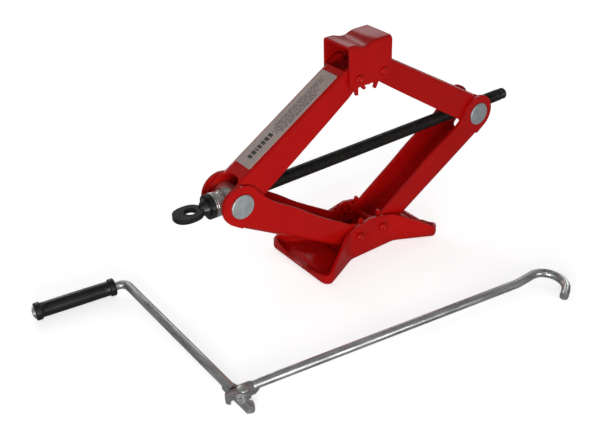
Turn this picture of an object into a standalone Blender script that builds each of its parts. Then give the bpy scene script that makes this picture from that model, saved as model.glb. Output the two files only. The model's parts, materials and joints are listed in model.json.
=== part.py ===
"""Scissor car jack with its folding hook crank, modelled piece by piece.

Frame: metres, +Z up.  The origin is on the floor under the middle of the base.
+X runs along the lead screw from its eye to its free end, and the loose crank
lies on the floor on the -Y side.  The jack stands part-way up.

All driving dimensions below are in millimetres and degrees.  Sheet-metal arms
are drawn in an arm frame: u runs from the arm's rivet to its trunnion pin and
v points to the side of its web.
"""
import math

import bmesh
import bpy
from mathutils import Matrix, Vector

MM = 0.001
GAP = 0.3                    # gap kept between pieces that touch
FAR = 60.0                   # reach of a cutter past what it cuts

# --- linkage -----------------------------------------------------------------
ARM_LENGTH = 151.2           # rivet to trunnion pin
LIFT_ANGLE = 32.34           # arms above the floor line, as the jack stands
RIVET_OFFSET = 14.3          # each rivet from the middle plane; gear pitch radius
BASE_RIVET_HEIGHT = 21.2

THETA = math.radians(LIFT_ANGLE)
TRUNNION_X = RIVET_OFFSET + ARM_LENGTH * math.cos(THETA)
TRUNNION_Z = BASE_RIVET_HEIGHT + ARM_LENGTH * math.sin(THETA)
HEAD_RIVET_Z = 2 * TRUNNION_Z - BASE_RIVET_HEIGHT

# --- arms: half width and sheet thickness, then outlines in the arm frame ------
UPPER_HALF_WIDTH = 14.7
UPPER_SHEET = 2.5
LOWER_HALF_WIDTH = 18.0
LOWER_SHEET = 3.0
BEND_RADIUS = 4.0
UPPER_LOBE_RADIUS = 17.0
LOWER_LOBE_RADIUS = 18.8
WEB_START = 5.0
NOTCH_START = 135.5          # where the web is cut back from the trunnion
NOTCH_CORNER = 8.0
NOTCH_INSET = 0.05           # keeps the cut's sides just inside the flanges' faces
CUT_MARGIN = 2.0             # reach of the bend cutters past the sheet
UPPER_WEB = ((5.0, 13.2), (138.0, 15.8))       # outer face of the web, (u, v)
LOWER_WEB = ((5.0, 15.3), (138.5, 19.4))
UPPER_EDGE = ((15.5, -9.9), (45.0, -11.0), (88.0, -12.2), (131.0, -12.7))
LOWER_LEFT_EDGE = ((14.0, -7.7), (58.0, -7.9), (86.0, -10.2), (120.0, -11.2), (134.0, -14.4))
LOWER_RIGHT_EDGE = ((14.0, -9.2), (58.0, -9.9), (86.0, -11.0), (120.0, -9.8), (135.0, -12.2))

# --- gear teeth on the arms' rivet ends ---------------------------------------
TOOTH_PITCH = 34.0           # degrees
TOOTH_TIP_RADIUS = 17.2
TOOTH_ROOT_RADIUS = 10.7
TOOTH_TIP_HALF = 1.0         # half thickness at the tip
TOOTH_ROOT_HALF = 1.9
TOOTH_FIRST = -40.0          # the sector, from the line between the rivets
TOOTH_LAST = 90.0
TOOTH_SHOULDER_DROP = 0.8    # from the tip circle
TOOTH_SHOULDER_HALF = 1.45
SECTOR_LEAD = 6.0            # degrees of root circle ahead of the first tooth
HEEL_TURN = (12.0, 152.0)    # degrees of the heel arc, past the web corner and at its end

# --- pins and rivets ----------------------------------------------------------
RIVET_RADIUS = 3.0
RIVET_HOLE_RADIUS = 3.35
RIVET_HEAD_RADIUS = 4.0
HEAD_RIVET_FACE = 21.2       # |y| of the rivets' end faces
BASE_RIVET_FACE = 25.0
RIVET_DIMPLE_RADIUS = 1.9
RIVET_DIMPLE_DEPTH = 0.8
RIVET_DIMPLE_SLOPE = 0.7
RIVET_HEAD_CHAMFER = (0.9, 0.8)   # across the face and along the shank
JOURNAL_RADIUS = 8.0
JOURNAL_CHAMFER = 0.5
JOURNAL_HOLE_RADIUS = 8.35
BARREL_RADIUS = 11.2
BARREL_HALF_LENGTH = 11.8
BARREL_CHAMFER = 0.6
CAP_RADIUS = 11.6
CAP_FACE = 20.3              # |y| of the trunnion caps' outer faces

# --- base pan -------------------------------------------------------------------
BASE_SHEET = 2.8
BASE_BEND = 4.0
BASE_LENGTHS = (73.6, 70.6)  # reach of the left and right foot
BASE_WAIST_HALF_WIDTH = 25.6
BASE_FOOT_HALF_WIDTH = 44.4
BASE_WAIST_HALF_LENGTH = 27.0
BASE_FOOT_SIDE = 8.5         # straight side of a foot before its flare
BASE_CORNER_RADIUS = 8.0
BASE_WAIST_FILLET = 16.0
BASE_LIP_HEIGHT = 4.4        # in the middle of an end
BASE_LIP_STEP = (17.0, 19.5) # |y| where the lip steps up
BASE_LIP_BEND = 28.0         # |y| half way up the lip
BASE_STEP_HEIGHT = 6.0       # of the lip beside the step
BASE_EAR_HEIGHT = 10.5       # at the corners
BASE_WALL_DROP = 29.0        # of the arched side wall, down to an end
BASE_WALL_POWER = 1.6
BASE_LIP_POWER = 1.5
BASE_WALL_HEIGHT = 36.0
BASE_WALL_FACE = 21.5        # |y| of the wall at the rivets
BASE_KNEE = 0.35             # share of the wall's height where its lean ends
BASE_LEAN_END = 24.0         # |x| up to which the wall leans in fully
BASE_LEAN_FADE = 40.0        # length over which the lean fades out
BASE_FOOT_LEAN = 0.6

# --- saddle head ------------------------------------------------------------------
HEAD_ENDS = (-24.0, 23.8)
HEAD_HALF_WIDTH = 18.6
HEAD_SHEET = 2.4
HEAD_TOP = 31.4              # top face above the head rivets
HEAD_SKIRT = 7.6             # lower edge below the head rivets
HEAD_CORNER_RADIUS = 4.0     # of the skirt's lower corners
GROOVE_DEPTH = 3.0
GROOVE_WIDTH = 27.0
GROOVE_X = -4.5

# --- lead screw, its eye and its thrust stack ---------------------------------------
SCREW_RADIUS = 6.0
SCREW_BORE_RADIUS = 6.35
SCREW_LEFT = -167.0
SCREW_RIGHT = 197.8
STACK_RADIUS = 11.2
RACE_THICKNESS = 1.6
CAGE_THICKNESS = 5.8
TRUNNION_FLAT = 10.2         # flat on the barrel, from its axis
COLLAR_LENGTH = 1.6
SOCKET_NOSE = ((-173.5, 3.6), (-168.4, 8.0))  # x and radius of the cone behind the ring
FLANGE_LEFT = -166.6
EYE_CENTRE = -185.0
EYE_HALF_LENGTH = 13.6
EYE_HALF_WIDTH = 11.0
EYE_THICKNESS = 4.8
EYE_POWER = 2.3              # of its superellipse outline
EYE_HOLE_X = -182.6
EYE_HOLE_RADIUS = 5.4

# --- label --------------------------------------------------------------------------
LABEL_START = 12.0
LABEL_END = 124.5
LABEL_WIDTH = 21.0
LABEL_THICKNESS = 0.3

# --- crank ----------------------------------------------------------------------------
ROD_RADIUS = 4.0
PIVOT = (-214.8, -118.0)     # fold pivot, on the floor plan
HOOK_HEADING = -7.5          # heading of the hook rod from the pivot
ARM_X = -219.7               # axis of the crank arm at the pivot
BEND_POINT = (-220.3, 69.2)  # where arm and grip meet
GRIP_AXIS_HEIGHT = 8.4
GRIP_ROD_END = -306.5        # x of the grip rod's end
ROD_BEND_RADIUS = 8.0
PLATE_THICKNESS = 3.9
PLATE_PIVOT_RADIUS = 6.2
FOOT_START = 8.0             # where the round arm starts, past the pivot
PLATE_OVERLAP = 18.0         # how far the flat foot runs up under the round arm
TAIL_END = -138.0
TAIL_HALF_WIDTH = 4.2
TAIL_KNOB_START = -130.5     # y where the unflattened tip of the tail starts
TAIL_KNOB_HEIGHT = 6.4
BLADE_LENGTH = 7.8           # pivot to the step up to the full rod
BLADE_HALF_WIDTH = 6.4
BLADE_ROOT = 5.0             # run of the blade into the round rod
BLADE_KNOB = (-10.1, -12.0)  # along the rod: start of the round knob and its centre
KNOB_ROUND_END = 250.0       # heading where the knob's round end stops
KNOB_RELIEF = 1.6            # its inner corner is cut off from here, so the arm's tail swings past
HOOK_STRAIGHT = 279.0        # pivot to the end of the straight rod
HOOK_CROWN = (98.0, 60.0, -60.0)  # headings on the hook's arc: start, top, tip
HOOK_CENTRE = (80.5, -172.5)
HOOK_RADIUS = 17.8
HOOK_TAIL = 9.5              # straight run at the hook's tip
HOOK_RISE = (5.4, 6.8)       # axis height where the hook starts and at its top
HOOK_CROWN_DIP = 0.4         # how far below its top the arc of the hook begins
GRIP_START = -230.6
GRIP_END = -304.4
GRIP_RADIUS = 6.8
GRIP_COLLAR_RADIUS = 8.2
GRIP_COLLAR_LENGTH = 5.5
GRIP_BORE_RADIUS = 4.35
CRANK_RIVET_RADIUS = 3.0
CRANK_RIVET_HOLE = 3.35
CRANK_RIVET_HEAD = 5.0
CRANK_RIVET_CROWN = 1.6      # height of its head
CRANK_RIVET_DOME = ((0.7, 0.3), (1.4, 2.2))  # rise and inset of the head's shoulder
PUSH_NUT_RADIUS = 5.8
PUSH_NUT_THICKNESS = 1.0

ROUND = 24                   # sides of a turned piece
SMOOTH_ANGLE = math.radians(35)

MATERIALS = {
    "red_paint": ((0.46, 0.012, 0.010, 1.0), 0.30, 0.0),
    "zinc_steel": ((0.55, 0.56, 0.57, 1.0), 0.35, 1.0),
    "black_oxide": ((0.014, 0.014, 0.014, 1.0), 0.42, 0.6),
    "grey_label": ((0.30, 0.29, 0.26, 1.0), 0.55, 0.0),
    "black_plastic": ((0.012, 0.012, 0.012, 1.0), 0.45, 0.0),
}


def clear_scene():
    """Remove whatever the file holds before the model is built."""
    for old in list(bpy.data.objects):
        bpy.data.objects.remove(old, do_unlink=True)


def material(name):
    """The shared Principled material of one finish."""
    found = bpy.data.materials.get(name)
    if found:
        return found
    colour, roughness, metallic = MATERIALS[name]
    made = bpy.data.materials.new(name)
    made.use_nodes = True
    shader = made.node_tree.nodes["Principled BSDF"]
    shader.inputs["Base Color"].default_value = colour
    shader.inputs["Roughness"].default_value = roughness
    shader.inputs["Metallic"].default_value = metallic
    return made


def to_object(name, bm, finish=None, place=Matrix.Identity(4)):
    """Store a mesh drawn in millimetres as an object in metres.

    place is the object's frame in millimetres; without a finish it is a cutter.
    """
    bmesh.ops.scale(bm, vec=(MM, MM, MM), verts=bm.verts)
    bmesh.ops.recalc_face_normals(bm, faces=bm.faces)
    mesh = bpy.data.meshes.new(name)
    bm.to_mesh(mesh)
    bm.free()
    obj = bpy.data.objects.new(name, mesh)
    bpy.context.scene.collection.objects.link(obj)
    place = place.copy()
    place.translation *= MM
    obj.matrix_world = place
    if finish:
        mesh.materials.append(material(finish))
        mesh.shade_smooth()
        mesh.set_sharp_from_angle(angle=SMOOTH_ANGLE)
    else:
        obj.hide_render = True
        obj.display_type = "WIRE"
    return obj


def cut(target, cutter, operation="DIFFERENCE"):
    """Add a Boolean of the cutter to the target."""
    boolean = target.modifiers.new(cutter.name, "BOOLEAN")
    boolean.operation = operation
    boolean.solver = "EXACT"
    boolean.object = cutter


# --- outlines --------------------------------------------------------------------

def arc(centre, radius, start, end, steps):
    """Points on an arc, angles in degrees, both ends included."""
    points = []
    for step in range(steps + 1):
        angle = math.radians(start + (end - start) * step / steps)
        points.append((centre[0] + radius * math.cos(angle), centre[1] + radius * math.sin(angle)))
    return points


def smooth_run(points, steps=3):
    """A Catmull-Rom curve through the points."""
    ends = [points[0]] + list(points) + [points[-1]]
    curve = [points[0]]
    for first, second, third, fourth in zip(ends, ends[1:], ends[2:], ends[3:]):
        for step in range(1, steps + 1):
            t = step / steps
            curve.append(tuple(
                0.5 * (2 * b + (c - a) * t + (2 * a - 5 * b + 4 * c - d) * t ** 2
                       + (3 * b - a - 3 * c + d) * t ** 3)
                for a, b, c, d in zip(first, second, third, fourth)))
    return curve


def between(line, u):
    """The v of a straight line given by two (u, v) points."""
    (u0, v0), (u1, v1) = line
    return v0 + (v1 - v0) * (u - u0) / (u1 - u0)


# --- solids ---------------------------------------------------------------------------

def add_prism(bm, outline, low, high, plane="XZ"):
    """Extrude an outline: XZ along Y, XY along Z, YZ along X."""
    order = {"XZ": lambda a, b, c: (a, c, b),
             "XY": lambda a, b, c: (a, b, c),
             "YZ": lambda a, b, c: (c, a, b)}[plane]
    bottom = [bm.verts.new(order(a, b, low)) for a, b in outline]
    top = [bm.verts.new(order(a, b, high)) for a, b in outline]
    bm.faces.new(bottom)
    bm.faces.new(reversed(top))
    for index in range(len(outline)):
        after = (index + 1) % len(outline)
        bm.faces.new((bottom[index], top[index], top[after], bottom[after]))


def prism(outline, low, high, plane="XZ"):
    """A new mesh holding one prism."""
    bm = bmesh.new()
    add_prism(bm, outline, low, high, plane)
    return bm


def add_lathe(bm, profile, frame, segments=ROUND):
    """Turn a closed or axis-ended profile of (along, radius) about the frame's Z axis."""
    rings = []
    for along, radius in profile:
        if radius == 0:
            rings.append([bm.verts.new(frame @ Vector((0, 0, along)))])
            continue
        ring = []
        for step in range(segments):
            angle = 2 * math.pi * step / segments
            point = Vector((radius * math.cos(angle), radius * math.sin(angle), along))
            ring.append(bm.verts.new(frame @ point))
        rings.append(ring)
    closed = profile[0][1] != 0
    pairs = list(zip(rings, rings[1:]))
    if closed:
        pairs.append((rings[-1], rings[0]))
    for lower, upper in pairs:
        for step in range(segments):
            after = (step + 1) % segments
            corners = [lower[step % len(lower)], lower[after % len(lower)],
                       upper[after % len(upper)], upper[step % len(upper)]]
            bm.faces.new(list(dict.fromkeys(corners)))


def axis_frame(origin, direction):
    """A frame at the origin with its Z axis along the direction."""
    turn = Vector(direction).to_track_quat("Z", "Y").to_matrix().to_4x4()
    return Matrix.Translation(Vector(origin)) @ turn


def lathe(profile, origin, direction, segments=ROUND):
    """A new mesh holding one turned piece."""
    bm = bmesh.new()
    add_lathe(bm, profile, axis_frame(origin, direction), segments)
    return bm


def rod_profile(start, end, radius, chamfer=0.0):
    """Profile of a plain bar with chamfered ends."""
    if chamfer == 0:
        return [(start, 0), (start, radius), (end, radius), (end, 0)]
    return [(start, 0), (start, radius - chamfer), (start + chamfer, radius),
            (end - chamfer, radius), (end, radius - chamfer), (end, 0)]


def ring_profile(start, end, inner, outer, chamfer=0.3):
    """Profile of a washer, sleeve or bushing with chamfered rims."""
    return [(start, inner), (start, outer - chamfer), (start + chamfer, outer),
            (end - chamfer, outer), (end, outer - chamfer), (end, inner)]


def add_tube(bm, path, radius, segments=16):
    """Sweep a round section along a path of Vectors, with flat ends."""
    rings = []
    side = None
    for index, point in enumerate(path):
        before = path[max(index - 1, 0)]
        after = path[min(index + 1, len(path) - 1)]
        tangent = (after - before).normalized()
        side = Vector((0, 0, 1)) if side is None else side
        side = (side - tangent * side.dot(tangent)).normalized()
        across = tangent.cross(side)
        ring = []
        for step in range(segments):
            angle = 2 * math.pi * step / segments
            offset = side * math.cos(angle) + across * math.sin(angle)
            ring.append(bm.verts.new(point + offset * radius))
        rings.append(ring)
    for lower, upper in zip(rings, rings[1:]):
        for step in range(segments):
            after = (step + 1) % segments
            bm.faces.new((lower[step], lower[after], upper[after], upper[step]))
    bm.faces.new(rings[0])
    bm.faces.new(rings[-1])


def rivet_holes(height):
    """Cutters for the two rivet holes through a pair of side walls."""
    holes = bmesh.new()
    for side in (-1, 1):
        frame = axis_frame((side * RIVET_OFFSET, 0, height), (0, 1, 0))
        add_lathe(holes, rod_profile(-FAR, FAR, RIVET_RADIUS + GAP), frame, 24)
    return holes


# --- arms -------------------------------------------------------------------------------

def on_circle(radius, angle):
    """A point at an angle, in degrees, on a circle about the origin."""
    return (radius * math.cos(math.radians(angle)), radius * math.sin(math.radians(angle)))


def gear_teeth(phase):
    """Teeth of an arm's sector in the arm frame; phase 0 puts one on the centre line.

    Angles run from the line between the two rivets, as the jack stands.
    """
    centre_line = 180 + LIFT_ANGLE
    shoulder_radius = TOOTH_TIP_RADIUS - TOOTH_SHOULDER_DROP
    flank = [(TOOTH_ROOT_RADIUS, math.degrees(TOOTH_ROOT_HALF / TOOTH_ROOT_RADIUS)),
             (shoulder_radius, math.degrees(TOOTH_SHOULDER_HALF / shoulder_radius)),
             (TOOTH_TIP_RADIUS, math.degrees(TOOTH_TIP_HALF / TOOTH_TIP_RADIUS))]
    points = [on_circle(TOOTH_ROOT_RADIUS, centre_line + TOOTH_FIRST - SECTOR_LEAD)]
    first = math.ceil(TOOTH_FIRST / TOOTH_PITCH - phase)
    last = math.floor(TOOTH_LAST / TOOTH_PITCH - phase)
    for number in range(first, last + 1):
        middle = centre_line + (phase + number) * TOOTH_PITCH
        points += [on_circle(radius, middle - half) for radius, half in flank]
        points += [on_circle(radius, middle + half) for radius, half in reversed(flank)]
    return points


def arm_outline(web, edge, lobe_radius, phase):
    """Side view of an arm's flange: free edge, trunnion lobe, web line, toothed end."""
    trunnion = (ARM_LENGTH, 0)
    outline = smooth_run(edge)
    outline += arc(trunnion, lobe_radius, -120, 90, 20)
    outline += [web[1], web[0]]
    heel = math.hypot(*web[0])
    web_corner = math.degrees(math.atan2(web[0][1], web[0][0]))
    outline += arc((0, 0), heel, web_corner + HEEL_TURN[0], HEEL_TURN[1], 5)
    outline += gear_teeth(phase)
    return outline


def bend_cutter_outline(half_width, web_height):
    """Cross-section of what the outer bend takes off one corner."""
    curve = arc((half_width - BEND_RADIUS, web_height - BEND_RADIUS), BEND_RADIUS, 0, 90, 5)
    side = half_width + CUT_MARGIN
    top = web_height + CUT_MARGIN
    return [(side, web_height - BEND_RADIUS)] + curve + [(half_width - BEND_RADIUS, top), (side, top)]


def make_arm(name, place, half_width, sheet, web, edge, lobe_radius, phase):
    """One pressed arm: a channel with teeth at its rivet and a lobe at its trunnion."""
    outline = arm_outline(web, edge, lobe_radius, phase)
    arm = to_object(name, prism(outline, -half_width, half_width), "red_paint", place)

    inner = half_width - sheet
    web_inner = [(u, v - sheet) for u, v in web]
    notch_end = NOTCH_START + NOTCH_CORNER
    channel = [(-FAR, -FAR), (ARM_LENGTH + FAR, -FAR), (ARM_LENGTH + FAR, FAR), (notch_end, FAR),
               (notch_end, between(web_inner, notch_end)), (WEB_START, between(web_inner, WEB_START)),
               (WEB_START, FAR), (-FAR, FAR)]
    cut(arm, to_object(name + "_channel_cut", prism(channel, -inner, inner), place=place))

    notch_half = inner - NOTCH_INSET
    notch = arc((notch_end, notch_half - NOTCH_CORNER), NOTCH_CORNER, 90, 180, 6)
    notch += arc((notch_end, NOTCH_CORNER - notch_half), NOTCH_CORNER, 180, 270, 6)
    notch += [(ARM_LENGTH + FAR, -notch_half), (ARM_LENGTH + FAR, notch_half)]
    cut(arm, to_object(name + "_notch_cut", prism(notch, 0, FAR, "XY"), place=place))

    corners = bmesh.new()
    slope = math.atan2(web[1][1] - web[0][1], web[1][0] - web[0][0])
    along = Matrix.Rotation(-slope, 4, "Y")
    height = between(web, 0) * math.cos(slope)
    for side in (-1, 1):
        section = [(side * y, v) for y, v in bend_cutter_outline(half_width, height)]
        add_prism(corners, section, -20, web[1][0] + 2, "YZ")
    bmesh.ops.transform(corners, matrix=along, verts=corners.verts)
    cut(arm, to_object(name + "_bend_cut", corners, place=place))

    holes = bmesh.new()
    reach = half_width + 5
    for centre, radius in ((0, RIVET_HOLE_RADIUS), (ARM_LENGTH, JOURNAL_HOLE_RADIUS)):
        add_lathe(holes, rod_profile(-reach, reach, radius), axis_frame((centre, 0, 0), (0, 1, 0)))
    cut(arm, to_object(name + "_hole_cut", holes, place=place))
    return arm


def arm_frame(side, level):
    """Frame of an arm: side -1 is left, +1 right; level -1 is lower, +1 upper."""
    along = Vector((side * math.cos(THETA), 0, -level * math.sin(THETA)))
    web_side = Vector((side * math.sin(THETA), 0, level * math.cos(THETA)))
    across = web_side.cross(along)
    place = Matrix((along, across, web_side)).transposed().to_4x4()
    height = HEAD_RIVET_Z if level > 0 else BASE_RIVET_HEIGHT
    place.translation = Vector((side * RIVET_OFFSET, 0, height))
    return place


def make_arms():
    """The four arms; meshing neighbours are half a tooth apart."""
    for side, word, phases, lower_edge in ((-1, "left", (0.0, 0.5), LOWER_LEFT_EDGE),
                                           (1, "right", (0.5, 0.0), LOWER_RIGHT_EDGE)):
        make_arm(f"lower_{word}_arm", arm_frame(side, -1), LOWER_HALF_WIDTH, LOWER_SHEET,
                 LOWER_WEB, lower_edge, LOWER_LOBE_RADIUS, phases[0])
        make_arm(f"upper_{word}_arm", arm_frame(side, 1), UPPER_HALF_WIDTH, UPPER_SHEET,
                 UPPER_WEB, UPPER_EDGE, UPPER_LOBE_RADIUS, phases[1])


def make_label():
    """The plate-like sticker on the upper left arm's web."""
    outline = []
    for u, lift in ((LABEL_START, GAP), (LABEL_END, GAP),
                    (LABEL_END, GAP + LABEL_THICKNESS), (LABEL_START, GAP + LABEL_THICKNESS)):
        outline.append((u, between(UPPER_WEB, u) + lift))
    to_object("arm_label", prism(outline, -LABEL_WIDTH / 2, LABEL_WIDTH / 2), "grey_label",
              arm_frame(-1, 1))


# --- base ---------------------------------------------------------------------------------

def fillet(before, corner, after, radius, steps):
    """Round one corner of a polygon with an arc."""
    into = (Vector(before) - Vector(corner)).normalized()
    away = (Vector(after) - Vector(corner)).normalized()
    half = into.angle(away) / 2
    middle = Vector(corner) + (into + away).normalized() * (radius / math.sin(half))
    start = Vector(corner) + into * (radius / math.tan(half)) - middle
    sweep = (Vector(corner) + away * (radius / math.tan(half)) - middle)
    turn = start.angle_signed(sweep)
    points = []
    for step in range(steps + 1):
        angle = -turn * step / steps
        points.append((middle.x + start.x * math.cos(angle) - start.y * math.sin(angle),
                       middle.y + start.x * math.sin(angle) + start.y * math.cos(angle)))
    return points


def base_plan():
    """Outer plan outline of the pan, counter-clockwise: a waist between two flared feet."""
    halves = []
    for length in BASE_LENGTHS:
        corners = [(length, 0.0), (length, BASE_FOOT_HALF_WIDTH),
                   (length - BASE_FOOT_SIDE, BASE_FOOT_HALF_WIDTH),
                   (BASE_WAIST_HALF_LENGTH, BASE_WAIST_HALF_WIDTH), (0.0, BASE_WAIST_HALF_WIDTH)]
        end = [(length, 0.0), (length, BASE_LIP_STEP[0]), (length, BASE_LIP_STEP[1]), (length, BASE_LIP_BEND)]
        corner = fillet(corners[0], corners[1], corners[2], BASE_CORNER_RADIUS, 4)
        waist = fillet(corners[2], corners[3], corners[4], BASE_WAIST_FILLET, 3)
        flare = [tuple(Vector(corner[-1]).lerp(Vector(waist[0]), step / 4)) for step in (1, 2, 3)]
        halves.append(end + corner + flare + waist)
    left, right = halves
    back = right + [(0.0, BASE_WAIST_HALF_WIDTH)] + [(-x, y) for x, y in reversed(left)]
    return back + [(x, -y) for x, y in reversed(back[1:-1])]


def base_wall_height(x, y):
    """Height of the wall at a place round the edge: arched sides, raised corners, low end lips."""
    share = abs(x) / BASE_LENGTHS[x > 0]
    if share < 0.999:
        return max(BASE_EAR_HEIGHT, BASE_WALL_HEIGHT - BASE_WALL_DROP * share ** BASE_WALL_POWER)
    if abs(y) <= BASE_LIP_STEP[0]:
        return BASE_LIP_HEIGHT
    run = BASE_FOOT_HALF_WIDTH - BASE_CORNER_RADIUS - BASE_LIP_STEP[1]
    across = min(1.0, max(0.0, (abs(y) - BASE_LIP_STEP[1]) / run))
    return BASE_STEP_HEIGHT + (BASE_EAR_HEIGHT - BASE_STEP_HEIGHT) * across ** BASE_LIP_POWER


def base_wall_lean(x, inward):
    """How far the wall steps in above its knee: fully at the waist, hardly at the feet."""
    fade = min(1.0, max(0.0, (abs(x) - BASE_LEAN_END) / BASE_LEAN_FADE))
    full = BASE_WAIST_HALF_WIDTH - BASE_WALL_FACE
    return (BASE_FOOT_LEAN + (full - BASE_FOOT_LEAN) * (1 - fade) ** 2) * abs(inward.y) ** 2


def make_base_pan():
    """The pressed base: a flat floor, bent up all round into walls and lips."""
    plan = base_plan()
    inner_bend = BASE_BEND - BASE_SHEET
    count = len(plan)
    bm = bmesh.new()
    loops = []
    for index, (x, y) in enumerate(plan):
        run = (Vector(plan[(index + 1) % count]) - Vector(plan[index - 1])).normalized()
        inward = Vector((-run.y, run.x))
        height = base_wall_height(x, y)
        knee = BASE_BEND + BASE_KNEE * (height - BASE_BEND)
        lean = base_wall_lean(x, inward)
        section = arc((BASE_BEND, BASE_BEND), BASE_BEND, 270, 180, 3)
        section += [(lean, knee), (lean, height), (lean + BASE_SHEET, height), (lean + BASE_SHEET, knee)]
        section += arc((BASE_BEND, BASE_BEND), inner_bend, 180, 270, 2)
        loop = []
        for inset, z in section:
            loop.append(bm.verts.new((x + inward.x * inset, y + inward.y * inset, z)))
        loops.append(loop)
    for index, loop in enumerate(loops):
        after = loops[(index + 1) % count]
        for step in range(len(loop) - 1):
            bm.faces.new((loop[step], loop[step + 1], after[step + 1], after[step]))
    bm.faces.new([loop[0] for loop in loops])
    bm.faces.new([loop[-1] for loop in reversed(loops)])
    pan = to_object("base_pan", bm, "red_paint")
    cut(pan, to_object("base_hole_cut", rivet_holes(BASE_RIVET_HEIGHT)))


# --- head -----------------------------------------------------------------------------------

def head_top(x):
    """Height of the saddle's top face above the head rivets, with its cross groove."""
    from_groove = abs(x - GROOVE_X) / (GROOVE_WIDTH / 2)
    if from_groove >= 1:
        return HEAD_TOP
    return HEAD_TOP - GROOVE_DEPTH * math.cos(math.pi / 2 * from_groove) ** 2


def head_skirt(x):
    """Depth of the saddle's lower edge below the head rivets, with its corners rounded."""
    from_end = min(x - HEAD_ENDS[0], HEAD_ENDS[1] - x)
    if from_end >= HEAD_CORNER_RADIUS:
        return HEAD_SKIRT
    rise = HEAD_CORNER_RADIUS - math.sqrt(HEAD_CORNER_RADIUS ** 2 - (HEAD_CORNER_RADIUS - from_end) ** 2)
    return HEAD_SKIRT - rise


def make_head():
    """The saddle: an upside-down channel with a grooved top, open at both ends."""
    corner = [HEAD_CORNER_RADIUS * (1 - math.cos(math.radians(angle))) for angle in (0, 30, 55, 90)]
    stations = [HEAD_ENDS[0] + run for run in corner]
    stations += [GROOVE_X + GROOVE_WIDTH * (step / 10 - 0.5) for step in range(11)]
    stations += [HEAD_ENDS[1] - run for run in reversed(corner)]
    inner_half = HEAD_HALF_WIDTH - HEAD_SHEET
    inner_bend = BEND_RADIUS - HEAD_SHEET
    middle = Vector((-RIVET_OFFSET, 0, HEAD_RIVET_Z))
    bm = bmesh.new()
    loops = []
    for x in stations:
        top = head_top(x)
        skirt = head_skirt(x)
        outer = arc((HEAD_HALF_WIDTH - BEND_RADIUS, top - BEND_RADIUS), BEND_RADIUS, 0, 90, 4)
        inner = arc((inner_half - inner_bend, top - BEND_RADIUS), inner_bend, 90, 0, 2)
        right = [(HEAD_HALF_WIDTH, -skirt)] + outer
        left = [(-y, z) for y, z in reversed(right)]
        inside = [(-y, z) for y, z in reversed(inner)] + inner
        section = right + left + [(-inner_half, -skirt)] + inside + [(inner_half, -skirt)]
        loops.append([bm.verts.new((x - middle.x, y, z)) for y, z in section])
    for loop, after in zip(loops, loops[1:]):
        for step in range(len(loop)):
            following = (step + 1) % len(loop)
            bm.faces.new((loop[step], loop[following], after[following], after[step]))
    bm.faces.new(loops[0])
    bm.faces.new(loops[-1])
    head = to_object("saddle_head", bm, "red_paint", Matrix.Translation(middle))
    cut(head, to_object("head_hole_cut", rivet_holes(HEAD_RIVET_Z)))


# --- rivets and trunnions -----------------------------------------------------------------------

def make_rivet(name, x, z, wall_face, end_face):
    """A through rivet with a low head and a dimple at each end."""
    under = wall_face + GAP
    floor = end_face - RIVET_DIMPLE_DEPTH
    half = [(floor, RIVET_DIMPLE_RADIUS - RIVET_DIMPLE_SLOPE), (end_face, RIVET_DIMPLE_RADIUS),
            (end_face, RIVET_HEAD_RADIUS - RIVET_HEAD_CHAMFER[0]),
            (end_face - RIVET_HEAD_CHAMFER[1], RIVET_HEAD_RADIUS),
            (under, RIVET_HEAD_RADIUS), (under, RIVET_RADIUS)]
    profile = [(floor, 0)] + half
    profile += [(-along, radius) for along, radius in reversed(half)] + [(-floor, 0)]
    to_object(name, lathe(profile, (0, 0, 0), (0, 1, 0), 16), "red_paint",
              Matrix.Translation(Vector((x, 0, z))))


def make_rivets():
    """The four pivot rivets."""
    for side, word in ((-1, "left"), (1, "right")):
        make_rivet(f"base_rivet_{word}", side * RIVET_OFFSET, BASE_RIVET_HEIGHT,
                   BASE_WALL_FACE, BASE_RIVET_FACE)
        make_rivet(f"head_rivet_{word}", side * RIVET_OFFSET, HEAD_RIVET_Z,
                   HEAD_HALF_WIDTH, HEAD_RIVET_FACE)


def make_trunnion(name, side):
    """A cross barrel with two journals, bored for the screw and flat where a washer bears."""
    journal_end = LOWER_HALF_WIDTH
    half = [(journal_end, 0), (journal_end, JOURNAL_RADIUS - JOURNAL_CHAMFER),
            (journal_end - JOURNAL_CHAMFER, JOURNAL_RADIUS),
            (BARREL_HALF_LENGTH, JOURNAL_RADIUS), (BARREL_HALF_LENGTH, BARREL_RADIUS - BARREL_CHAMFER),
            (BARREL_HALF_LENGTH - BARREL_CHAMFER, BARREL_RADIUS)]
    profile = half + [(-along, radius) for along, radius in reversed(half)]
    centre = Vector((side * TRUNNION_X, 0, TRUNNION_Z))
    trunnion = to_object(name, lathe(profile, (0, 0, 0), (0, 1, 0)), "zinc_steel",
                         Matrix.Translation(centre))
    bore = bmesh.new()
    add_lathe(bore, rod_profile(-FAR, FAR, SCREW_BORE_RADIUS), axis_frame((0, 0, 0), (1, 0, 0)), 24)
    cut(trunnion, to_object(name + "_bore_cut", bore, place=Matrix.Translation(centre)))
    if side < 0:
        block = [(-FAR, -FAR), (-TRUNNION_FLAT, -FAR), (-TRUNNION_FLAT, FAR), (-FAR, FAR)]
        cut(trunnion, to_object(name + "_flat_cut", prism(block, -FAR, FAR),
                                place=Matrix.Translation(centre)))


def make_caps(name, side):
    """The two round end caps riveted over a trunnion's journals."""
    under = LOWER_HALF_WIDTH + GAP
    profile = [(under, 0), (under, CAP_RADIUS), (CAP_FACE - 0.5, CAP_RADIUS),
               (CAP_FACE, CAP_RADIUS - 0.6), (CAP_FACE, 0)]
    for direction, word in ((-1, "near"), (1, "far")):
        to_object(f"{name}_cap_{word}", lathe(profile, (0, 0, 0), (0, direction, 0)), "zinc_steel",
                  Matrix.Translation(Vector((side * TRUNNION_X, 0, TRUNNION_Z))))


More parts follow.
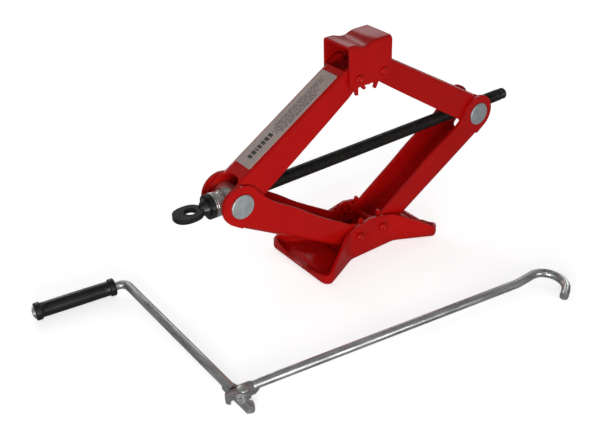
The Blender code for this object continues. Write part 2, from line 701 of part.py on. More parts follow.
# --- screw ----------------------------------------------------------------------------------------

def on_screw(name, profile, finish, segments=ROUND):
    """A piece turned about the lead screw's axis; along is x."""
    return to_object(name, lathe([(along, radius) for along, radius in profile],
                                 (0, 0, 0), (1, 0, 0), segments),
                     finish, Matrix.Translation(Vector((0, 0, TRUNNION_Z))))


def make_screw():
    """The lead screw, the washers that take its thrust, and the forged eye on its end."""
    axis = Matrix.Translation(Vector((0, 0, TRUNNION_Z)))
    on_screw("lead_screw", rod_profile(SCREW_LEFT, SCREW_RIGHT, SCREW_RADIUS, 1.2), "black_oxide")

    right = -TRUNNION_X - TRUNNION_FLAT - GAP
    for name, length, finish in (("thrust_race_inner", RACE_THICKNESS, "zinc_steel"),
                                 ("thrust_ball_cage", CAGE_THICKNESS, "zinc_steel"),
                                 ("thrust_race_outer", RACE_THICKNESS, "zinc_steel"),
                                 ("thrust_collar", COLLAR_LENGTH, "black_oxide")):
        on_screw(name, ring_profile(right - length, right, SCREW_BORE_RADIUS, STACK_RADIUS), finish)
        right -= length + GAP

    socket_right = right
    bore_end = SCREW_LEFT - GAP
    socket = [(SOCKET_NOSE[0][0], 0), *SOCKET_NOSE, (FLANGE_LEFT, SOCKET_NOSE[1][1]),
              (FLANGE_LEFT, STACK_RADIUS), (socket_right, STACK_RADIUS), (socket_right, SCREW_BORE_RADIUS),
              (bore_end, SCREW_BORE_RADIUS), (bore_end, 0)]
    eye = on_screw("screw_eye", socket, "black_oxide")

    outline = []
    for step in range(40):
        angle = 2 * math.pi * step / 40
        power = 2 / EYE_POWER
        reach_x = math.copysign(abs(math.cos(angle)) ** power, math.cos(angle))
        reach_y = math.copysign(abs(math.sin(angle)) ** power, math.sin(angle))
        outline.append((EYE_CENTRE + EYE_HALF_LENGTH * reach_x, EYE_HALF_WIDTH * reach_y))
    ring = to_object("eye_ring_join", prism(outline, -EYE_THICKNESS / 2, EYE_THICKNESS / 2, "XY"), place=axis)
    cut(eye, ring, "UNION")
    bore = lathe(rod_profile(-FAR, FAR, EYE_HOLE_RADIUS), (EYE_HOLE_X, 0, 0), (0, 0, 1))
    cut(eye, to_object("eye_hole_cut", bore, place=axis))
    clear = lathe(rod_profile(bore_end, 0, SCREW_BORE_RADIUS), (0, 0, 0), (1, 0, 0))
    cut(eye, to_object("eye_socket_cut", clear, place=axis))


# --- crank ------------------------------------------------------------------------------------------

def lifted(points, heights):
    """Plan points with a height that runs evenly with distance between two heights."""
    lengths = [0.0]
    for first, second in zip(points, points[1:]):
        lengths.append(lengths[-1] + math.dist(first, second))
    path = []
    for (x, y), length in zip(points, lengths):
        path.append(Vector((x, y, heights[0] + (heights[1] - heights[0]) * length / lengths[-1])))
    return path


def make_hook_rod():
    """The long rod: a half-lap blade at the fold pivot and a hook for the screw's eye."""
    heading = math.radians(HOOK_HEADING)
    ahead = Vector((math.cos(heading), math.sin(heading)))
    pivot = Vector(PIVOT)
    blade_low = PLATE_THICKNESS + GAP
    blade_top = blade_low + PLATE_THICKNESS
    axis_height = blade_top

    start = pivot + ahead * BLADE_LENGTH
    straight_end = pivot + ahead * HOOK_STRAIGHT
    straight = [tuple(start.lerp(straight_end, step / 4)) for step in range(5)]
    path = lifted(straight, (axis_height, HOOK_RISE[0]))
    start_turn, top_turn, tip_end = HOOK_CROWN
    crown_rise = (HOOK_RISE[1] - HOOK_CROWN_DIP, HOOK_RISE[1])
    crown = lifted(arc(HOOK_CENTRE, HOOK_RADIUS, start_turn, top_turn, 4), crown_rise)
    bend = arc(HOOK_CENTRE, HOOK_RADIUS, top_turn, tip_end, 9)
    tip_turn = math.radians(tip_end)
    bend.append((bend[-1][0] + HOOK_TAIL * math.sin(tip_turn),
                 bend[-1][1] - HOOK_TAIL * math.cos(tip_turn)))
    path += crown + lifted(bend, (HOOK_RISE[1], ROD_RADIUS))[1:]
    fold = Matrix.Translation(Vector((*PIVOT, 0)))
    bm = bmesh.new()
    add_tube(bm, [point - fold.translation for point in path], ROD_RADIUS)
    rod = to_object("hook_rod", bm, "zinc_steel", fold)

    taper = 0.75 * ROD_RADIUS
    root = BLADE_LENGTH + BLADE_ROOT
    knob_start, knob_centre = BLADE_KNOB
    shoulder = 180 - math.degrees(math.asin(ROD_RADIUS / BLADE_HALF_WIDTH))
    side = [(root, taper), (BLADE_LENGTH, BLADE_HALF_WIDTH)]
    side += arc((0, 0), BLADE_HALF_WIDTH, 90, shoulder, 5)
    side += arc((knob_centre, 0), ROD_RADIUS, 90, 180, 5)
    blade = side + [(x, -y) for x, y in reversed(side[:-1])]
    turn = fold @ Matrix.Rotation(heading, 4, "Z")
    cut(rod, to_object("blade_join", prism(blade, blade_low, blade_top, "XY"), place=turn), "UNION")
    knob_radius = ROD_RADIUS - 0.1
    knob = [(knob_start, KNOB_RELIEF), (knob_start, knob_radius)]
    knob += arc((knob_centre, 0), knob_radius, 90, KNOB_ROUND_END, 8)
    cut(rod, to_object("knob_join", prism(knob, GAP, blade_low + 1, "XY"), place=turn), "UNION")
    hole = lathe(rod_profile(-FAR, FAR, CRANK_RIVET_HOLE), (*PIVOT, 0), (0, 0, 1), 20)
    cut(rod, to_object("blade_hole_cut", hole))


def make_crank_arm():
    """The short arm: a flattened foot with a tail under the pivot, and the bent grip rod."""
    heading = math.radians(HOOK_HEADING)
    corner = Vector(BEND_POINT)
    foot = Vector((ARM_X, PIVOT[1] + FOOT_START))
    grip_way = Vector((-math.cos(heading), -math.sin(heading)))
    rod_end = corner + grip_way * ((corner.x - GRIP_ROD_END) / math.cos(heading))
    arm_run = [tuple(foot.lerp(corner, step / 6)) for step in range(6)]
    bend = fillet(tuple(foot), tuple(corner), tuple(rod_end), ROD_BEND_RADIUS, 6)
    low = lifted(arm_run + [bend[0]], (ROD_RADIUS, GRIP_AXIS_HEIGHT))
    flat = [Vector((x, y, GRIP_AXIS_HEIGHT)) for x, y in bend[1:] + [tuple(rod_end)]]
    fold = Matrix.Translation(Vector((*PIVOT, 0)))
    bm = bmesh.new()
    add_tube(bm, [point - fold.translation for point in low + flat], ROD_RADIUS)
    arm = to_object("crank_arm", bm, "zinc_steel", fold)

    plate_start = PIVOT[1] + PLATE_OVERLAP
    tail = arc((ARM_X, TAIL_END + TAIL_HALF_WIDTH), TAIL_HALF_WIDTH, 225, 330, 4)
    plate = [(ARM_X - TAIL_HALF_WIDTH, plate_start), (ARM_X - TAIL_HALF_WIDTH, TAIL_END + 2)] + tail
    plate += [(ARM_X + TAIL_HALF_WIDTH, PIVOT[1] - PLATE_PIVOT_RADIUS + 0.5)]
    plate += arc(PIVOT, PLATE_PIVOT_RADIUS, -60, 60, 6)
    plate += [(ARM_X + ROD_RADIUS, plate_start)]
    cut(arm, to_object("foot_join", prism(plate, 0, PLATE_THICKNESS, "XY")), "UNION")
    knob_half = TAIL_HALF_WIDTH - 0.1
    knob = [(ARM_X - knob_half, TAIL_KNOB_START), (ARM_X - knob_half, TAIL_END + TAIL_HALF_WIDTH)]
    knob += arc((ARM_X, TAIL_END + TAIL_HALF_WIDTH), knob_half, 225, 315, 4)
    knob += [(ARM_X + knob_half, TAIL_END + TAIL_HALF_WIDTH), (ARM_X + knob_half, TAIL_KNOB_START)]
    cut(arm, to_object("tail_knob_join", prism(knob, 1, TAIL_KNOB_HEIGHT, "XY")), "UNION")
    hole = lathe(rod_profile(-FAR, FAR, CRANK_RIVET_HOLE), (*PIVOT, 0), (0, 0, 1), 20)
    cut(arm, to_object("foot_hole_cut", hole))


def make_crank_rivet():
    """The fold pivot's rivet, flush below and headed above the blade."""
    head_low = 2 * PLATE_THICKNESS + 2 * GAP
    profile = [(GAP, 0), (GAP, CRANK_RIVET_RADIUS), (head_low, CRANK_RIVET_RADIUS),
               (head_low, CRANK_RIVET_HEAD)]
    profile += [(head_low + rise, CRANK_RIVET_HEAD - inset) for rise, inset in CRANK_RIVET_DOME]
    profile.append((head_low + CRANK_RIVET_CROWN, 0))
    to_object("crank_rivet", lathe(profile, (0, 0, 0), (0, 0, 1), 24), "zinc_steel",
              Matrix.Translation(Vector((*PIVOT, 0))))


def grip_place(x):
    """Frame on the grip rod's axis at a given x, its Z axis towards the rod's free end."""
    heading = math.radians(HOOK_HEADING)
    y = BEND_POINT[1] + (BEND_POINT[0] - x) * math.tan(-heading)
    return axis_frame((x, y, GRIP_AXIS_HEIGHT), (-math.cos(heading), -math.sin(heading), 0))


def make_grip():
    """The turning grip and the push nut that keeps it on the rod."""
    length = (GRIP_START - GRIP_END) / math.cos(math.radians(HOOK_HEADING))
    collar = GRIP_COLLAR_LENGTH
    half = [(0.0, GRIP_COLLAR_RADIUS - 0.8), (0.8, GRIP_COLLAR_RADIUS),
            (collar - 0.8, GRIP_COLLAR_RADIUS), (collar, GRIP_RADIUS)]
    profile = [(0.0, GRIP_BORE_RADIUS)] + half
    profile += [(length - along, radius) for along, radius in reversed(half)]
    profile += [(length, GRIP_BORE_RADIUS)]
    bm = bmesh.new()
    add_lathe(bm, profile, Matrix.Identity(4))
    to_object("crank_grip", bm, "black_plastic", grip_place(GRIP_START))
    nut = bmesh.new()
    add_lathe(nut, ring_profile(0.0, PUSH_NUT_THICKNESS, GRIP_BORE_RADIUS, PUSH_NUT_RADIUS, 0.2),
              Matrix.Identity(4), 24)
    to_object("grip_push_nut", nut, "zinc_steel", grip_place(GRIP_END - GAP))


def main():
    clear_scene()
    make_base_pan()
    make_arms()
    make_label()
    make_head()
    make_rivets()
    for name, side in (("thrust_trunnion", -1), ("nut_trunnion", 1)):
        make_trunnion(name, side)
        make_caps(name, side)
    make_screw()
    make_hook_rod()
    make_crank_arm()
    make_crank_rivet()
    make_grip()


main()
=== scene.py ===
"""Looks of the scissor car jack: painted pressed steel, zinc, black oxide, label and grip."""
import json
import math
import random

import bmesh
import bpy
from mathutils import Matrix, Vector

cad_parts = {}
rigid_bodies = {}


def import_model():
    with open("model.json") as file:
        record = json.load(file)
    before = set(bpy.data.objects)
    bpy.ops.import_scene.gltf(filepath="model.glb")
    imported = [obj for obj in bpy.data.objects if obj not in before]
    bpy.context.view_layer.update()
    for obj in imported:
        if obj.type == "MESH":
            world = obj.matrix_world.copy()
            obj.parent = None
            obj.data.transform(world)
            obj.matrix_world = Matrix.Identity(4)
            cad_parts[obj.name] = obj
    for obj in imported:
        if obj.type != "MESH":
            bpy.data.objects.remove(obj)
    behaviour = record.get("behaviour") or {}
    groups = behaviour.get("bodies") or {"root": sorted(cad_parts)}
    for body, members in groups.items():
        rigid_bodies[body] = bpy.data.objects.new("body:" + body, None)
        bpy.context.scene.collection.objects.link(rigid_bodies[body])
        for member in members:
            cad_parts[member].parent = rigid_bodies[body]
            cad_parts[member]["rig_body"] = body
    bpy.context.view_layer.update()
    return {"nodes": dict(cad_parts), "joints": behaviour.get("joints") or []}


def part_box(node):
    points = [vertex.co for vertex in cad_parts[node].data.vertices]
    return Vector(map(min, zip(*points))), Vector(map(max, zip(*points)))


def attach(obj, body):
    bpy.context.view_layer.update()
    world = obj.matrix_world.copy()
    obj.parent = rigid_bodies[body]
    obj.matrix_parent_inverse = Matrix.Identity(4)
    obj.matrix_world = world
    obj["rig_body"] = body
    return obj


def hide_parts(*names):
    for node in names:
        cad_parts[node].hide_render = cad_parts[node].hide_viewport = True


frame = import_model()
scene = bpy.context.scene

MM = 0.001

# --- camera ---------------------------------------------------------------------------
CAMERA_PLACE = (-0.5066, -0.6030, 0.5165)
CAMERA_AZIMUTH = -35.99          # degrees, of the viewing direction from +Y
CAMERA_DOWN = 31.82              # degrees below the horizon
CAMERA_ROLL = -1.69
CAMERA_LENS = 56.6

# --- light: name, azimuth and elevation of its box, its distance, width and power -----
LIGHTS = (("key_box", -45, 3, 0.8, 0.32, 2.9),
          ("front_box", 5, 3, 1.0, 0.40, 2.0),
          ("left_box", -72, 20, 1.5, 0.6, 1.9),
          ("right_box", 100, 20, 1.5, 0.6, 2.6),
          ("back_box", 180, 20, 1.5, 0.6, 4.0),
          ("far_right_box", 140, 30, 1.5, 0.6, 1.9),
          ("glint_box", -22, 46, 1.5, 0.10, 0.9))
LIGHT_TARGET = (0.0, -0.03, 0.09)
WORLD_COLOUR = (0.97, 0.98, 1.0)
WORLD_STRENGTH = 0.18
FLOOR_HALF_SIZE = 6.0
FLOOR_DROP = 0.0002              # keeps it just clear of what stands on it
FLOOR_GLOW = 0.63                # keeps the floor near white under so little light

# --- detail sizes, millimetres --------------------------------------------------------
ROUND = 56                       # sides of a turned piece
WELD_DISTANCE = 2e-6             # metres
FLAT_ANGLE = 0.4                 # degrees; faces closer than this in direction become one
SAME_PLANE = 1e-6                # metres
SHEET_EDGE = 0.45                # rounding of cut sheet edges
BARREL_EDGE = 0.5
ROD_EDGE = 0.5
CRANK_RIVET_EDGE = 0.2
PUSH_NUT_EDGE = 0.15
EYE_EDGE = 0.9

RIVET_SIDES = 40
RIVET_SHANK = 3.0
RIVET_RIM = 0.9                  # share of the head's radius beyond which its rim lies
# from the middle of a rivet's hollow end outwards: depth below its end, radius
RIVET_HOLLOW = ((1.3, 0.0), (1.2, 1.2), (0.5, 1.75), (0.1, 2.1), (0.0, 2.5), (0.1, 2.9))
RIVET_SHOULDER = ((0.5, 0.45), (1.1, 0.1), (1.6, 0.0))      # depth, inset from the head's radius

CAP_PLAY = 0.35                  # how much smaller a pin's face is than its CAD cap
CAP_BACK = 0.3                   # chamfer of its back
# from its rim inwards: depth below the face, inset from the radius
CAP_RIM = ((0.75, 0.0), (0.55, 0.12), (0.05, 0.95), (0.0, 1.2), (0.18, 1.5), (0.10, 2.0))

THRUST_BORE = 6.4
WASHER_EDGE = 0.4
SHELL_EDGE = 0.6

THREAD_PITCH = 2.5
THREAD_DEPTH = 0.85
THREAD_STEPS = 20                # round one turn
# the ridge of one thread: share of the pitch along the screw, share of the depth above the root
THREAD_RIDGE = ((0.28, -0.06), (0.48, 1.0), (0.80, 1.0), (1.0, -0.06))
SCREW_SIDES = 40
SCREW_NOSE = 9.0                 # plain length at the eye
SCREW_NOSE_CHAMFER = 0.8
SCREW_RUN_OUT = 1.0
SCREW_TIP = 3.5                  # plain length at the free end
SCREW_TIP_STEP = (0.6, 0.2)
SCREW_TIP_ROUNDING = 1.6

LABEL_CORNER = 1.2
LABEL_SINK = 0.5                 # how far the film reaches into the arm
LABEL_TOP = 0.15
INK_HEIGHT = 0.03
INK_SINK = 0.05
BLOCK_START = 37.5               # bold blocks: distance from the label's lower end
BLOCK_WIDTHS = (3.4, 3.6, 3.3, 3.1, 1.5, 3.6, 3.3)
BLOCK_GAP = 1.25
BLOCK_SIDES = (-2.7, 2.9)
BLOCK_CORNER = 0.7
# fine dashes: offset across the label, half thickness, first and last place along it
DASH_ROWS = ((6.6, 0.50, 23.4, 68.64), (4.2, 0.38, 18.0, 73.92), (2.0, 0.38, 19.8, 72.16),
             (-0.2, 0.38, 7.2, 73.92), (-2.4, 0.38, 9.0, 70.4), (-4.4, 0.38, 5.4, 66.88))
DASH_WIDTHS = (1.6, 6.5)
DASH_GAPS = (0.7, 1.3)

FOOT_FLOOR = 2.8                 # height of a foot's inner floor
EMBOSS_HEIGHT = 1.5
EMBOSS_INSET = 8.8               # from the foot's end
EMBOSS_NEAR = 30.0               # x of its end towards the middle
EMBOSS_HALF_WIDTHS = (33.0, 16.2)
EMBOSS_CORNER = 9.0
EMBOSS_SLOPE = 4.5               # width of its sloping side
EMBOSS_RINGS = 6
EMBOSS_OVERLAP = 0.04
EMBOSS_SINK = 0.3

GRIP_SIDES = 64
GRIP_COLLAR = 8.2
GRIP_COLLAR_LENGTH = 5.5
GRIP_BARREL = 6.8
GRIP_BORE = 4.4
GRIP_ROUNDING = 1.0
GRIP_STEP = 0.35                 # chamfer between a collar and the barrel
GRIP_SWELL = 0.15
GRIP_SPANS = 12


# --- node helpers ---------------------------------------------------------------------

def material(name):
    """A new node material; returns it with its tree and Principled shader."""
    made = bpy.data.materials.new(name)
    made.use_nodes = True
    tree = made.node_tree
    return made, tree, tree.nodes["Principled BSDF"]


def add_noise(tree, scale, detail=3.0, roughness=0.55, stretch=(1, 1, 1), turn=0.0):
    """Noise in the object's own coordinates: scale in cells per metre, stretch lengthens the cells."""
    place = tree.nodes.new("ShaderNodeTexCoord")
    mapping = tree.nodes.new("ShaderNodeMapping")
    mapping.vector_type = "TEXTURE"
    mapping.inputs["Scale"].default_value = stretch
    mapping.inputs["Rotation"].default_value = (0, 0, turn)
    texture = tree.nodes.new("ShaderNodeTexNoise")
    texture.inputs["Scale"].default_value = scale
    texture.inputs["Detail"].default_value = detail
    texture.inputs["Roughness"].default_value = roughness
    tree.links.new(place.outputs["Object"], mapping.inputs["Vector"])
    tree.links.new(mapping.outputs["Vector"], texture.inputs["Vector"])
    return texture.outputs["Fac"]


def add_ramp(tree, source, stops):
    """A colour ramp; stops are (position, colour)."""
    ramp = tree.nodes.new("ShaderNodeValToRGB")
    elements = ramp.color_ramp.elements
    while len(elements) < len(stops):
        elements.new(0.5)
    for element, (position, colour) in zip(elements, stops):
        element.position = position
        element.color = (*colour, 1.0)
    tree.links.new(source, ramp.inputs["Fac"])
    return ramp.outputs["Color"]


def add_range(tree, source, low, high, start=0.3, end=0.7):
    """Map a texture's middle range to a value range."""
    ranged = tree.nodes.new("ShaderNodeMapRange")
    ranged.inputs["From Min"].default_value = start
    ranged.inputs["From Max"].default_value = end
    ranged.inputs["To Min"].default_value = low
    ranged.inputs["To Max"].default_value = high
    tree.links.new(source, ranged.inputs["Value"])
    return ranged.outputs["Result"]


def add_bump(tree, shader, layers):
    """Stack bump layers of (height socket, distance in metres, strength)."""
    previous = None
    for height, distance, strength in layers:
        bump = tree.nodes.new("ShaderNodeBump")
        bump.inputs["Distance"].default_value = distance
        bump.inputs["Strength"].default_value = strength
        tree.links.new(height, bump.inputs["Height"])
        if previous:
            tree.links.new(previous, bump.inputs["Normal"])
        previous = bump.outputs["Normal"]
    tree.links.new(previous, shader.inputs["Normal"])


# --- materials ------------------------------------------------------------------------

def red_paint():
    """Gloss red stove paint over pressed steel, with a faint orange peel."""
    made, tree, shader = material("red_stove_paint")
    patches = add_noise(tree, 26, 3)
    tone = add_ramp(tree, patches, [(0.30, (0.520, 0.0048, 0.0040)),
                                    (0.55, (0.560, 0.0058, 0.0048)),
                                    (0.75, (0.590, 0.0075, 0.0060))])
    tree.links.new(tone, shader.inputs["Base Color"])
    tree.links.new(add_range(tree, add_noise(tree, 60, 4), 0.20, 0.30), shader.inputs["Roughness"])
    shader.inputs["Specular IOR Level"].default_value = 0.22
    add_bump(tree, shader, [(add_noise(tree, 420, 2), 0.00003, 0.20),
                            (add_noise(tree, 45, 2), 0.0003, 0.10)])
    return made


def zinc(name, dark, light, rough_low, rough_high, metallic=1.0, stretch=(1, 1, 1), turn=0.0):
    """Zinc-plated steel: mottled grey metal; a stretch draws the mottling out into streaks, which on a
    rod are painted reflection bands.
    """
    made, tree, shader = material(name)
    mottled = add_noise(tree, 170, 5, 0.65, stretch, turn)
    tone = add_ramp(tree, mottled, [(0.30, dark), (0.72, light)])
    tree.links.new(tone, shader.inputs["Base Color"])
    shader.inputs["Metallic"].default_value = metallic
    tree.links.new(add_range(tree, add_noise(tree, 90, 5, 0.6, stretch, turn), rough_low, rough_high),
                   shader.inputs["Roughness"])
    add_bump(tree, shader, [(mottled, 0.00012, 0.30), (add_noise(tree, 1500, 2), 0.00003, 0.25)])
    return made


def black_oxide():
    """Oiled black oxide on steel, with thin worn patches."""
    made, tree, shader = material("black_oxide_steel")
    grain = add_noise(tree, 320, 5, 0.65)
    tone = add_ramp(tree, grain, [(0.35, (0.012, 0.012, 0.011)),
                                  (0.62, (0.026, 0.025, 0.023)),
                                  (0.80, (0.120, 0.114, 0.100))])
    tree.links.new(tone, shader.inputs["Base Color"])
    shader.inputs["Metallic"].default_value = 0.35
    shader.inputs["Specular IOR Level"].default_value = 0.60
    tree.links.new(add_range(tree, add_noise(tree, 120, 4), 0.22, 0.38), shader.inputs["Roughness"])
    add_bump(tree, shader, [(grain, 0.00012, 0.35)])
    return made


def black_plastic():
    """Moulded black plastic with a fine satin grain."""
    made, tree, shader = material("black_grip_plastic")
    grain = add_noise(tree, 1400, 3, 0.6)
    tone = add_ramp(tree, add_noise(tree, 60, 3), [(0.3, (0.0065, 0.0065, 0.0068)),
                                                    (0.7, (0.0105, 0.0105, 0.0110))])
    tree.links.new(tone, shader.inputs["Base Color"])
    shader.inputs["Specular IOR Level"].default_value = 0.42
    tree.links.new(add_range(tree, add_noise(tree, 110, 3), 0.33, 0.46), shader.inputs["Roughness"])
    add_bump(tree, shader, [(grain, 0.00004, 0.5), (add_noise(tree, 70, 2), 0.0002, 0.15)])
    return made


def label_film():
    """Silver-grey printed film, slightly uneven where it is stuck down."""
    made, tree, shader = material("grey_label_film")
    tone = add_ramp(tree, add_noise(tree, 50, 4), [(0.3, (0.455, 0.360, 0.325)),
                                                   (0.7, (0.545, 0.430, 0.385))])
    tree.links.new(tone, shader.inputs["Base Color"])
    shader.inputs["Metallic"].default_value = 0.15
    tree.links.new(add_range(tree, add_noise(tree, 260, 3), 0.42, 0.56), shader.inputs["Roughness"])
    add_bump(tree, shader, [(add_noise(tree, 35, 3), 0.0004, 0.15)])
    return made


def label_ink():
    """Dark screen-printed ink."""
    made, tree, shader = material("dark_print_ink")
    tone = add_ramp(tree, add_noise(tree, 800, 3), [(0.3, (0.018, 0.015, 0.015)),
                                                    (0.7, (0.045, 0.038, 0.037))])
    tree.links.new(tone, shader.inputs["Base Color"])
    shader.inputs["Roughness"].default_value = 0.5
    return made


RED = red_paint()
ZINC_PIN = zinc("zinc_pin_face", (0.42, 0.455, 0.465), (0.56, 0.60, 0.61), 0.40, 0.54, 0.5)
ZINC_BRIGHT = zinc("bright_zinc", (0.50, 0.49, 0.47), (0.74, 0.73, 0.70), 0.20, 0.34, 0.85)
# rod and arm zinc: the dark and light streaks along their length are painted reflection bands on the
# round rods
ZINC_ROD = zinc("zinc_rod_painted_reflection_streaks", (0.26, 0.265, 0.26), (0.88, 0.88, 0.87), 0.22, 0.38, 0.90,
                (5.0, 0.7, 0.7), math.radians(-7.5))
ZINC_ARM = zinc("zinc_arm_painted_reflection_streaks", (0.30, 0.305, 0.30), (0.92, 0.92, 0.91), 0.22, 0.38, 0.88,
                (0.7, 5.0, 0.7))
ZINC_RIVET = zinc("dull_zinc_rivet", (0.36, 0.36, 0.355), (0.56, 0.56, 0.55), 0.36, 0.50, 0.7)
OXIDE = black_oxide()
PLASTIC = black_plastic()
FILM = label_film()
INK = label_ink()


# --- mesh helpers ---------------------------------------------------------------------

def body_of(node):
    """The body that a CAD node belongs to."""
    return frame["nodes"][node]["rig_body"]


def finish_piece(name, bm, finish, body, stands_for=(), sharp=35.0):
    """Turn a mesh in metres into a shaded piece that rides on a body."""
    bmesh.ops.recalc_face_normals(bm, faces=bm.faces)
    mesh = bpy.data.meshes.new(name)
    bm.to_mesh(mesh)
    bm.free()
    mesh.materials.append(finish)
    mesh.shade_smooth()
    mesh.set_sharp_from_angle(angle=math.radians(sharp))
    piece = bpy.data.objects.new(name, mesh)
    scene.collection.objects.link(piece)
    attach(piece, body)
    if stands_for:
        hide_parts(*stands_for)
    return piece


def rounded_copy(node, finish, width, segments=2, limit=48.0):
    """A CAD node's shape with its sharp edges rounded off."""
    source = frame["nodes"][node]
    bm = bmesh.new()
    bm.from_mesh(source.data)
    bmesh.ops.remove_doubles(bm, verts=bm.verts, dist=WELD_DISTANCE)
    bmesh.ops.dissolve_limit(bm, angle_limit=math.radians(FLAT_ANGLE), verts=bm.verts, edges=bm.edges)
    piece = finish_piece(node + "_rounded", bm, finish, body_of(node), (node,))
    bevel = piece.modifiers.new("edge", "BEVEL")
    bevel.width = width * MM
    bevel.segments = segments
    bevel.limit_method = "ANGLE"
    bevel.angle_limit = math.radians(limit)
    bevel.use_clamp_overlap = True
    bevel.harden_normals = True
    return piece


def axis_frame(origin, direction):
    """A frame at the origin with its Z axis along the direction."""
    turn = Vector(direction).to_track_quat("Z", "Y").to_matrix().to_4x4()
    return Matrix.Translation(Vector(origin)) @ turn


def add_lathe(bm, profile, place, segments=ROUND):
    """Turn a profile of (along, radius) in metres about the frame's Z axis."""
    rings = []
    for along, radius in profile:
        count = 1 if radius == 0 else segments
        ring = []
        for step in range(count):
            angle = 2 * math.pi * step / segments
            point = Vector((radius * math.cos(angle), radius * math.sin(angle), along))
            ring.append(bm.verts.new(place @ point))
        rings.append(ring)
    pairs = list(zip(rings, rings[1:]))
    if profile[0][1] > 0:
        pairs.append((rings[-1], rings[0]))
    for lower, upper in pairs:
        for step in range(segments):
            after = (step + 1) % segments
            corners = [lower[step % len(lower)], lower[after % len(lower)],
                       upper[after % len(upper)], upper[step % len(upper)]]
            bm.faces.new(list(dict.fromkeys(corners)))


def quarter(centre, radius, start, steps=4):
    """A quarter turn of profile points (along, radius) about a centre."""
    points = []
    for step in range(steps + 1):
        angle = math.radians(start - 90 * step / steps)
        points.append((centre[0] + radius * math.cos(angle), centre[1] + radius * math.sin(angle)))
    return points


def rounded_ring(start, end, inner, outer, radius):
    """Profile of a ring or disc whose outer rims are rounded."""
    profile = [(start, inner)]
    profile += quarter((start + radius, outer - radius), radius, 180)
    profile += quarter((end - radius, outer - radius), radius, 90)
    profile.append((end, inner))
    return profile


def rounded_outline(corners, radius, shrink, steps=6):
    """A polygon pulled in by shrink, with its corners rounded to radius."""
    count = len(corners)
    points = [Vector(corner) for corner in corners]
    pulled = []
    for index in range(count):
        before = (points[index] - points[index - 1]).normalized()
        after = (points[(index + 1) % count] - points[index]).normalized()
        normal_before = Vector((-before.y, before.x))
        normal_after = Vector((-after.y, after.x))
        push = normal_before + normal_after
        pulled.append(points[index] + push * (shrink / (1 + normal_before.dot(normal_after))))
    outline = []
    for index in range(count):
        corner = pulled[index]
        into = (pulled[index - 1] - corner).normalized()
        away = (pulled[(index + 1) % count] - corner).normalized()
        half = into.angle(away) / 2
        first = corner + into * (radius / math.tan(half))
        last = corner + away * (radius / math.tan(half))
        for step in range(steps + 1):
            share = step / steps
            bent = first * (1 - share) ** 2 + corner * 2 * share * (1 - share) + last * share ** 2
            outline.append(tuple(bent))
    return outline


def box_frame(node):
    """Centre and half sizes of a CAD node's box."""
    low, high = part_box(node)
    return (low + high) / 2, (high - low) / 2


# --- pressed and turned steel ---------------------------------------------------------

def make_sheet_metal():
    """The painted pressings, with their cut edges rounded over."""
    for node in ("base_pan", "lower_left_arm", "lower_right_arm", "upper_left_arm", "upper_right_arm",
                 "saddle_head"):
        rounded_copy(node, RED, SHEET_EDGE)


def make_rivets():
    """Headed rivets, hollow at the ends, painted with the jack."""
    for node in ("base_rivet_left", "base_rivet_right", "head_rivet_left", "head_rivet_right"):
        centre, half = box_frame(node)
        head = half.x
        under = min(abs(vertex.co.y) for vertex in frame["nodes"][node].data.vertices
                    if math.hypot(vertex.co.x - centre.x, vertex.co.z - centre.z) > RIVET_RIM * head)
        end = half.y
        half_profile = [(end - depth * MM, radius * MM) for depth, radius in RIVET_HOLLOW]
        half_profile += [(end - depth * MM, head - inset * MM) for depth, inset in RIVET_SHOULDER]
        half_profile += [(under, head), (under, RIVET_SHANK * MM)]
        profile = half_profile + [(-along, radius) for along, radius in reversed(half_profile)]
        bm = bmesh.new()
        add_lathe(bm, profile, axis_frame(centre, (0, 1, 0)), RIVET_SIDES)
        finish_piece(node + "_headed", bm, RED, body_of(node), (node,), sharp=50)


def make_trunnions():
    """Cross barrels and the flat pin faces riveted over their journals."""
    for side in ("thrust", "nut"):
        rounded_copy(side + "_trunnion", ZINC_BRIGHT, BARREL_EDGE)
        for face in ("near", "far"):
            node = f"{side}_trunnion_cap_{face}"
            centre, half = box_frame(node)
            radius = half.x - CAP_PLAY * MM
            profile = [(-half.y, 0), (-half.y, radius - CAP_BACK * MM), (-half.y + CAP_BACK * MM, radius)]
            profile += [(half.y - depth * MM, radius - inset * MM) for depth, inset in CAP_RIM]
            profile.append((profile[-1][0], 0))
            way = -1 if face == "near" else 1
            bm = bmesh.new()
            add_lathe(bm, profile, axis_frame(centre, (0, way, 0)))
            finish_piece(node + "_peened", bm, ZINC_PIN, body_of(node), (node,), sharp=50)


def make_thrust_stack():
    """The shelled ball thrust bearing between its washers, and the black collar beside it."""
    inner = THRUST_BORE * MM
    for node, finish, slot in (("thrust_race_inner", ZINC_BRIGHT, "zinc_steel"),
                               ("thrust_race_outer", ZINC_BRIGHT, "zinc_steel"),
                               ("thrust_collar", OXIDE, "black_oxide")):
        centre, half = box_frame(node)
        bm = bmesh.new()
        add_lathe(bm, rounded_ring(-half.x, half.x, inner, half.y, WASHER_EDGE * MM),
                  axis_frame(centre, (1, 0, 0)))
        finish_piece(node + "_turned", bm, finish, body_of(node), (node,), sharp=50)
    node = "thrust_ball_cage"
    centre, half = box_frame(node)
    bm = bmesh.new()
    add_lathe(bm, rounded_ring(-half.x, half.x, inner, half.y, SHELL_EDGE * MM),
              axis_frame(centre, (1, 0, 0)))
    finish_piece("thrust_bearing_shell", bm, ZINC_BRIGHT, body_of(node), (node,),
                 sharp=50)


